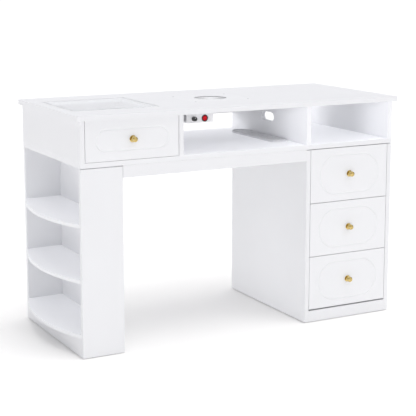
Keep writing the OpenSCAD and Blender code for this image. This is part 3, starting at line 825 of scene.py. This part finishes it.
def speed_knob():
    """A fluted control knob with a white pointer line, on its shaft."""
    lo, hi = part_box("speed_knob")
    centre = Vector(((lo.x + hi.x) / 2, lo.y, (lo.z + hi.z) / 2))
    r, length = (hi.x - lo.x) / 2, 12 * MM
    flutes, crest = 18, 0.055

    def fluted(turn, out):
        grip = min(max(out - 1.2 * MM, 0) / MM, 1) * min(max(length - 2 * MM - out, 0) / MM, 1)
        return 1 - crest * grip * (0.5 - 0.5 * math.cos(flutes * turn))

    bm = bmesh.new()
    edge = 1.0 * MM
    outline = [(0, 0.25 * MM), (r - 2.2 * MM, 0.25 * MM), (r - 1.9 * MM, 0)]
    outline += arc(r - 0.4 * MM - edge, edge, edge, 270, 360, 6)
    outline += [(r - 0.35 * MM + 0.05 * MM * i / 8, edge + (length - 3 * MM) * i / 8)
                for i in range(9)]
    outline += [(r, length - 1 * MM), (r, length), (3 * MM, length), (3 * MM, hi.y - lo.y),
                (0, hi.y - lo.y)]
    lathe(bm, outline, 144, wave=fluted)
    piece("speed_knob_moulded", bm, "speed_knob", "black_plastic", ["speed_knob"], at=centre)
    bm = bmesh.new()
    block(bm, (-0.5 * MM, 0.0, 1.2 * MM), (0.5 * MM, 0.6 * MM, r - 1.7 * MM))
    piece("speed_knob_pointer", bm, "speed_knob", "white_plastic", at=centre, bevel=0.12 * MM)


# ---- power strip ----

OUTLET_W = 36 * MM
OUTLET_PITCH = 50 * MM
OUTLETS = 5


def power_strip():
    """A flush strip: a rounded flange with a raised lip round a sunken panel of outlets."""
    lo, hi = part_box("power_strip")
    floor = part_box("box_floor")[1].z
    centre = Vector(((lo.x + hi.x) / 2, (lo.y + hi.y) / 2, floor))
    w, l, h = hi.x - lo.x, hi.y - lo.y, hi.z - floor
    corner, lip, sunk, body_inset = 30 * MM, 5 * MM, 2.4 * MM, 8 * MM

    def outline(inset, r):
        return box_outline(w - 2 * inset, l - 2 * inset, max(r, 2 * MM))

    under = lo.z - floor
    rings = [level(outline(body_inset, 12 * MM), under), level(outline(body_inset, 12 * MM), 0),
             level(outline(0.3 * MM, corner), 0)]
    crown = 3.2 * MM
    for i in range(9):
        angle = math.pi / 2 * i / 8
        rings.append(level(outline(crown * (1 - math.cos(angle)), corner - crown),
                           h - crown + crown * math.sin(angle)))
    for i in range(1, 7):
        angle = math.pi / 2 * i / 6
        inset = lip - sunk + sunk * math.sin(angle)
        rings.append(level(outline(inset, corner - inset), h - sunk * (1 - math.cos(angle))))
    bm = bmesh.new()
    made = bridged(bm, rings)
    bm.faces.new(made[0])
    bm.faces.new(made[-1])
    strip = piece("power_strip_moulded", bm, "table", "white_plastic", ["power_strip"], at=centre)
    pockets = bmesh.new()
    for outlet in range(OUTLETS):
        y = (outlet - (OUTLETS - 1) / 2) * OUTLET_PITCH
        inside = [(a, b + y) for a, b in box_outline(OUTLET_W + 0.6 * MM, OUTLET_W + 0.6 * MM, 6 * MM)]
        made = bridged(pockets, [level(inside, h - sunk - 6 * MM), level(inside, h)])
        pockets.faces.new(made[0])
        pockets.faces.new(made[-1])
    tool = mesh_of(pockets)
    tool.transform(strip.matrix_world)
    cut(strip, tool)
    outlets(centre + Vector((0, 0, h - sunk - 0.6 * MM)))


def outlet_slots():
    """The tool that cuts a socket's two blade slots and its earth hole."""
    bm = bmesh.new()
    half_pitch, half_w, length = 6.35 * MM, 1 * MM, 8 * MM
    bottom, above = -4 * MM, 1 * MM
    for x in (-half_pitch, half_pitch):
        block(bm, (x - half_w, 0, bottom), (x + half_w, length, above))
    earth = [(a, b - length) for a, b in round_outline(2.3 * MM)]
    made = bridged(bm, [level(earth, z) for z in (bottom, above)])
    bm.faces.new(made[0])
    bm.faces.new(made[-1])
    return mesh_of(bm)


def outlets(top):
    """Five sockets, each with two blade slots and a round earth hole."""
    pattern = None
    for outlet in range(OUTLETS):
        y = (outlet - (OUTLETS - 1) / 2) * OUTLET_PITCH
        place = top + Vector((0, y, 0))
        if pattern is None:
            bm = bmesh.new()
            prism(bm, box_outline(OUTLET_W, OUTLET_W, 5.5 * MM), -5 * MM, 0, 0.6 * MM)
            made = piece(f"strip_outlet_{outlet + 1}", bm, "table", "white_plastic",
                         ["strip_outlets"], at=place)
            recess_on(made, outlet_slots())
            pattern = made
        else:
            made = bpy.data.objects.new(f"strip_outlet_{outlet + 1}", pattern.data.copy())
            made.location = place
            bpy.context.scene.collection.objects.link(made)
            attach(made, "table")


# ---- feet ----


def foot_glides():
    """Eight nail-in glides, each a low plastic dome under a panel's edge."""
    lo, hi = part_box("foot_glides")
    h, r = hi.z - lo.z, 6 * MM
    board = 16 * MM
    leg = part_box("leg_front_panel")
    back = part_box("leg_back_panel")
    places = [(x, y) for x in (leg[0].x + 2 * board, leg[1].x - 2 * board)
              for y in (leg[0].y + board / 2, back[0].y + board / 2)]
    for side in ("pedestal_left_side", "pedestal_right_side"):
        a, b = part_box(side)
        places += [((a.x + b.x) / 2, y) for y in (a.y + 2 * board, b.y - 2 * board)]
    bm = bmesh.new()
    for x, y in places:
        before = set(bm.verts)
        dome = [(r * math.cos(a), 0.6 * h * (1 - math.sin(a)))
                for a in (math.pi / 2 * i / 6 for i in range(1, 7))]
        lathe(bm, [(0, h), (r, h), (r, 0.6 * h)] + dome, 32, along="Z")
        for v in set(bm.verts) - before:
            v.co.x += x
            v.co.y += y
    piece("foot_glides_domed", bm, "table", "grey_plastic", ["foot_glides"])


# ---- studio ----

# Each lamp: where it comes from, its irradiance over pi, its softness in degrees, its colour,
# what it lights, and what shades it. Those that light a few pieces alone stand in for the light
# that white walls, boards and floor throw back at them.
COOL = (0.967, 0.967, 1.0)
NEUTRAL = (1.0, 0.995, 0.985)
SURROUND = 0.52
BACKDROP = 1.08
BACKDROP_MIRRORED = 1.15
BACKDROP_FILL = 0.75
BACKDROP_EDGE = (0.1, 0.6)
CARD_EDGE, CARD_TONE = (0.68, 0.80), 0.02
CEILING_EDGE, CEILING_TONE = (0.50, 0.80), 0.15
LAMPS = {
    "top": ((0.2, -0.1, 1.0), 0.32, 70, NEUTRAL, "everything", "everything"),
    "key": ((0.35, -0.65, 0.67), 0.08, 60, NEUTRAL, "everything", "everything"),
    "front": ((0.0, -1.0, 0.15), 0.10, 80, COOL, "everything", "everything"),
    "left": ((-0.8, -0.6, 0.05), 0.08, 50, COOL, "everything", "everything"),
    "floor_top": ((0.2, -0.15, 1.0), 0.25, 50, NEUTRAL, "floor", "everything"),
    "box_overhead": ((0, 0, 1), 0.40, 20, COOL, "box_floors", "display_front"),
    "box_near": ((-0.9, -0.42, 0), 0.40, 20, COOL, "box_walls", "everything"),
    "box_far": ((-0.94, 0.34, 0), 0.46, 24, COOL, "box_walls", "everything"),
    "leg_overhead": ((0, 0, 1), 0.25, 20, COOL, "leg_bays", "nothing"),
    "leg_left": ((-1, 0, 0), 0.05, 20, COOL, "leg_bays", "nothing"),
    "inlet": ((0, -0.5, 1), 0.14, 20, COOL, "grille", "nothing"),
}
GROUPS = {
    "box_floors": ("box_floor",),
    "box_walls": ("right_divider", "box_right_side", "control_box"),
    "leg_bays": ("leg_inner_panel", "leg_back_panel", "leg_upper_shelf", "leg_lower_shelf",
                 "leg_bottom_shelf"),
    "display_front": ("display_front_routed",),
    "grille": ("fan_guard_wires",),
    "pedestal_side": ("pedestal_left_side",),
}
BOUNCE_WATTS = 0.75
BOUNCE_OUT = 0.35
BOUNCE_HIGH = 0.06
BOUNCE_SIZE = 0.1
FLOOR_TONE = (0.985, 0.98, 0.97)
FLOOR_WIDTH = 24
FLOOR_CORNER = 11


def group_of(name, members):
    """A collection of the pieces that a lamp lights."""
    group = bpy.data.collections.new(name)
    for member in members:
        group.objects.link(member)
    return group


def lamp(name, kind, tone):
    made = bpy.data.objects.new(name, bpy.data.lights.new(name, kind))
    bpy.context.scene.collection.objects.link(made)
    made.data.color = tone
    return made


def lamps(floor):
    groups = {name: group_of(name, [NODES.get(piece) or bpy.data.objects[piece] for piece in pieces])
              for name, pieces in GROUPS.items()}
    groups["floor"] = group_of("floor", [floor])
    for name, (source, level, softness, tone, lit, shaded) in LAMPS.items():
        sun = lamp(name, "SUN", tone)
        sun.data.energy = level * math.pi
        sun.data.angle = math.radians(softness)
        sun.data.use_shadow = shaded != "nothing"
        sun.rotation_euler = Vector(source).to_track_quat("Z", "Y").to_euler()
        if lit in groups:
            sun.light_linking.receiver_collection = groups[lit]
        if shaded in groups:
            sun.light_linking.blocker_collection = groups[shaded]
    # what the pale floor throws back at the foot of the pedestal
    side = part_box("pedestal_left_side")
    bounce = lamp("floor_bounce", "POINT", NEUTRAL)
    bounce.location = (side[0].x - BOUNCE_OUT, (side[0].y + side[1].y) / 2, BOUNCE_HIGH)
    bounce.data.energy = BOUNCE_WATTS
    bounce.data.shadow_soft_size = BOUNCE_SIZE
    bounce.data.use_shadow = False
    bounce.visible_camera = bounce.visible_glossy = False
    bounce.light_linking.receiver_collection = groups["pedestal_side"]


def studio_world():
    """White walls. The backdrop behind the table is bright where it is seen or mirrored."""
    world = bpy.data.worlds.new("studio")
    bpy.context.scene.world = world
    world.use_nodes = True
    tree = world.node_tree

    def node(kind, **settings):
        made = tree.nodes.new(kind)
        for name, value in settings.items():
            setattr(made, name, value)
        return made

    def ramp(source, start, end, low, high):
        """A smooth step from low to high while the source goes from start to end."""
        made = node("ShaderNodeMapRange", interpolation_type="SMOOTHSTEP")
        for name, value in zip(("From Min", "From Max", "To Min", "To Max"), (start, end, low, high)):
            if isinstance(value, bpy.types.NodeSocket):
                tree.links.new(value, made.inputs[name])
            else:
                made.inputs[name].default_value = value
        tree.links.new(source, made.inputs["Value"])
        return made.outputs["Result"]

    axes = node("ShaderNodeSeparateXYZ")
    tree.links.new(node("ShaderNodeTexCoord").outputs["Generated"], axes.inputs[0])
    path = node("ShaderNodeLightPath")
    mirrored = path.outputs["Is Glossy Ray"]
    card = ramp(mirrored, 0, 1, 1, ramp(axes.outputs["X"], *CARD_EDGE, 1, CARD_TONE))
    ceiling = ramp(mirrored, 0, 1, 1, ramp(axes.outputs["Z"], *CEILING_EDGE, 1, CEILING_TONE))
    dimming = node("ShaderNodeMath", operation="MULTIPLY")
    tree.links.new(card, dimming.inputs[0])
    tree.links.new(ceiling, dimming.inputs[1])
    backdrop = ramp(mirrored, 0, 1, BACKDROP_FILL, BACKDROP_MIRRORED)
    walls = node("ShaderNodeMath", operation="MULTIPLY")
    tree.links.new(ramp(axes.outputs["Y"], *BACKDROP_EDGE, SURROUND, backdrop), walls.inputs[0])
    tree.links.new(dimming.outputs[0], walls.inputs[1])
    room = tree.nodes["Background"]
    room.inputs["Color"].default_value = (*COOL, 1)
    tree.links.new(walls.outputs[0], room.inputs["Strength"])
    seen = node("ShaderNodeBackground")
    seen.inputs["Strength"].default_value = BACKDROP
    seen.inputs["Color"].default_value = (1, 1, 1, 1)
    both = node("ShaderNodeMixShader")
    tree.links.new(path.outputs["Is Camera Ray"], both.inputs[0])
    tree.links.new(room.outputs[0], both.inputs[1])
    tree.links.new(seen.outputs[0], both.inputs[2])
    tree.links.new(both.outputs[0], tree.nodes["World Output"].inputs["Surface"])


def studio():
    """A pale floor in a white room, with soft lamps."""
    scene = bpy.context.scene
    scene.view_settings.view_transform = "Standard"
    studio_world()
    bm = bmesh.new()
    outline = box_outline(FLOOR_WIDTH, FLOOR_WIDTH, FLOOR_CORNER, 12, 2)
    bm.faces.new([bm.verts.new((x, y, 0)) for x, y in outline])
    mesh = bpy.data.meshes.new("studio_floor")
    bm.to_mesh(mesh)
    bm.free()
    floor = bpy.data.objects.new("studio_floor", mesh)
    scene.collection.objects.link(floor)
    pale = Recipe("studio_floor_finish", Specular_IOR_Level=0.0)
    pale.colour(pale.noise(1.5, 2), shade(FLOOR_TONE, 0.995), FLOOR_TONE)
    pale.roughness(pale.noise(2, 2), 0.85, 0.95)
    mesh.materials.append(pale.material)
    lamps(floor)


make_camera()
finish_packed_solids()
for drawer in DRAWERS:
    drawer_front(drawer)
    knob(drawer)
slides()
finger_guard()
impeller()
plate_screws()
rocker_bezel()
power_rocker()
speed_knob()
power_strip()
foot_glides()
studio()

bpy.context.view_layer.update()
